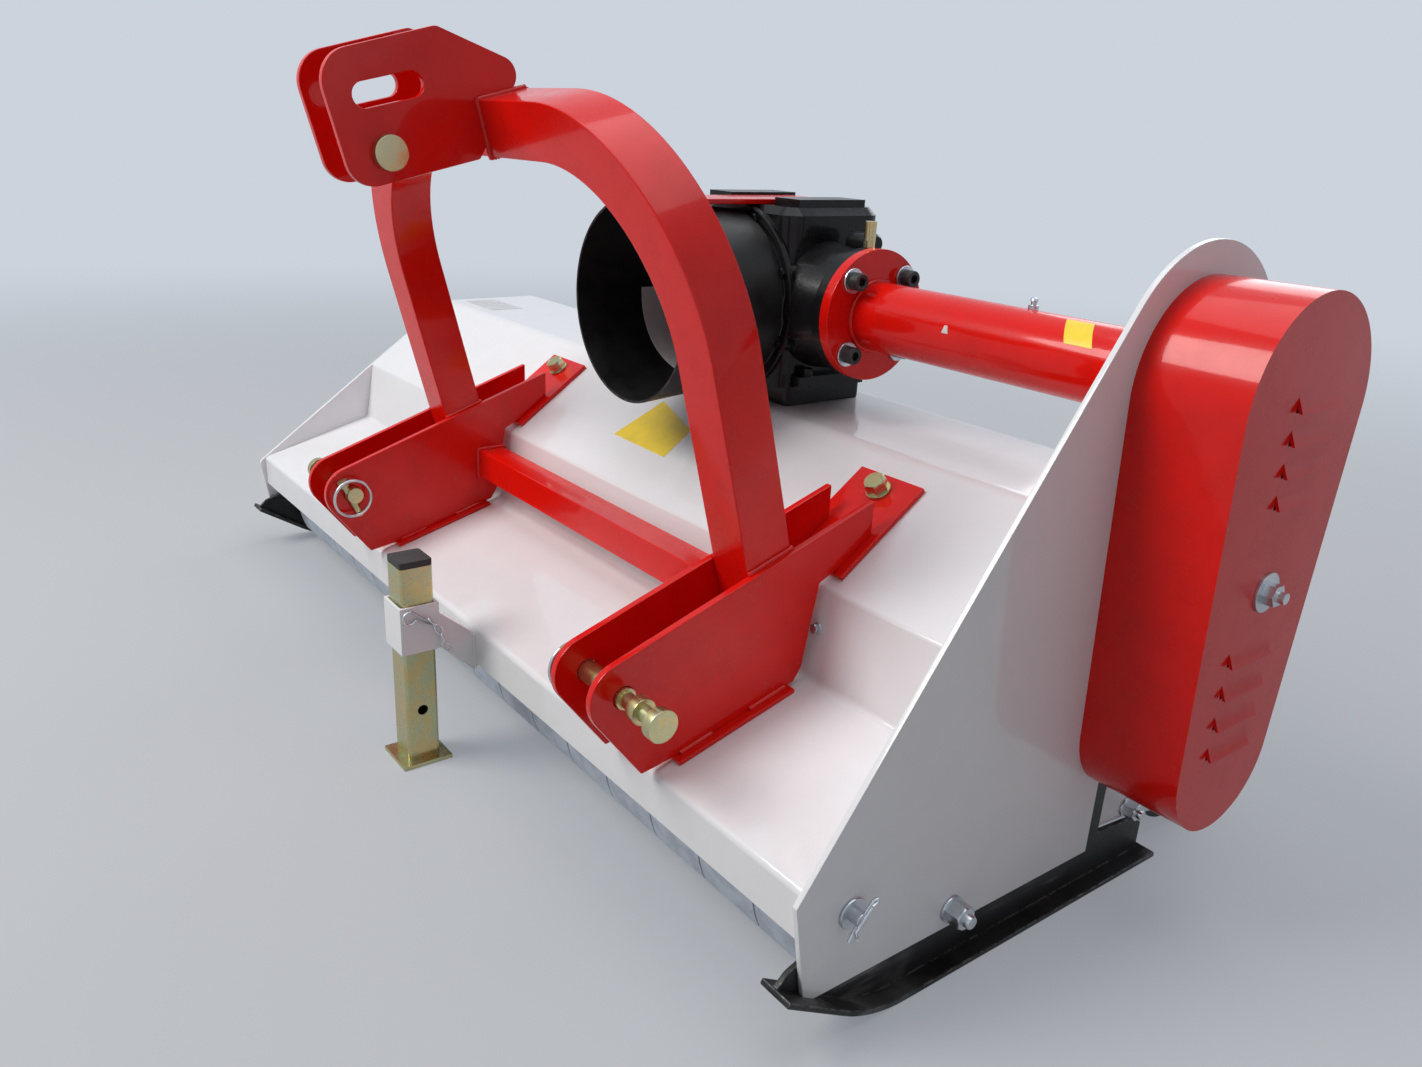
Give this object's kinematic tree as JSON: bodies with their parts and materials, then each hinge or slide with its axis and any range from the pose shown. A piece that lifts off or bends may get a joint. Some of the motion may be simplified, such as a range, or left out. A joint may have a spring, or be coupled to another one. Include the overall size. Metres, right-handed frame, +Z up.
{
  "type": "tractor mulcher",
  "caption": "Flail mulcher for a tractor's three-point hitch: white hood, red arch frame and belt cover, black gearbox, hammer rotor, rear roller and parking stand.",
  "frame": {"origin": "on the floor below the middle of the whole machine", "axes": "+X across the machine towards the belt drive, +Y from the tractor to the rear, +Z up"},
  "size_m": [1.609, 0.8267, 0.8215],
  "materials": {
    "white_paint": "gloss",
    "red_paint": "gloss",
    "black_paint": "satin",
    "black_casting": "painted satin",
    "zinc_steel": "bright zinc",
    "grey_steel": "dull zinc",
    "forged_steel": "forged",
    "yellow_zinc": "yellow zinc plating",
    "black_plastic": "matt"
  },
  "bodies": {
    "frame": {"hood": "white_paint", "side_plate_right": "white_paint", "side_plate_left": "white_paint", "stand_socket": "white_paint", "roller_bracket_right": "white_paint", "roller_bracket_left": "white_paint", "belt_cover": "red_paint", "shaft_tube": "red_paint", "hitch_arch": "red_paint", "cross_tube": "red_paint", "top_link_plate_left": "red_paint", "top_link_plate_right": "red_paint", "clevis_right_outer": "red_paint", "clevis_right_inner": "red_paint", "clevis_left_inner": "red_paint", "clevis_left_outer": "red_paint", "bracket_foot_right": "red_paint", "bracket_foot_left": "red_paint", "bracket_strap_right": "red_paint", "bracket_strap_left": "red_paint", "shield_bracket": "red_paint", "gearbox_base": "black_casting", "gearbox_housing": "black_casting", "rotor_bearing_left": "black_casting", "rotor_bearing_right": "black_casting", "pto_shield": "black_paint", "skid_right": "black_paint", "skid_left": "black_paint", "cover_knob": "zinc_steel", "flap_rod": "zinc_steel", "gearbox_breather": "yellow_zinc", "top_link_pin": "yellow_zinc", "lower_pin_right": "yellow_zinc", "lower_pin_left": "yellow_zinc"},
    "rotor": {"rotor": "black_paint", "hammers": "forged_steel"},
    "input_shaft": {"input_shaft": "forged_steel"},
    "roller": {"roller": "black_paint"},
    "flaps": {"front_flaps": "grey_steel"},
    "stand": {"stand_leg": "yellow_zinc", "stand_cap": "black_plastic"}
  },
  "joints": [
    {"name": "rotor_spin", "type": "hinge", "parent": "frame", "child": "rotor", "pos_m": [0.0825, 0.1743, 0.204], "axis": [1, 0, 0], "continuous": true},
    {"name": "input_spin", "type": "hinge", "parent": "frame", "child": "input_shaft", "pos_m": [0.0825, 0.1083, 0.541], "axis": [0, 1, 0], "continuous": true},
    {"name": "roller_spin", "type": "hinge", "parent": "frame", "child": "roller", "pos_m": [0.0825, 0.3533, 0.06], "axis": [1, 0, 0], "continuous": true},
    {"name": "flap_swing", "type": "hinge", "parent": "frame", "child": "flaps", "pos_m": [0.0825, -0.1997, 0.121], "axis": [1, 0, 0], "range_deg": [-5, 60]},
    {"name": "stand_slide", "type": "slide", "parent": "frame", "child": "stand", "axis": [0, 0, 1], "range_m": [0, 0.13]}
  ],
  "couplings": [
    {"joint": "input_spin", "follows": "rotor_spin", "ratio": 0.27}
  ]
}
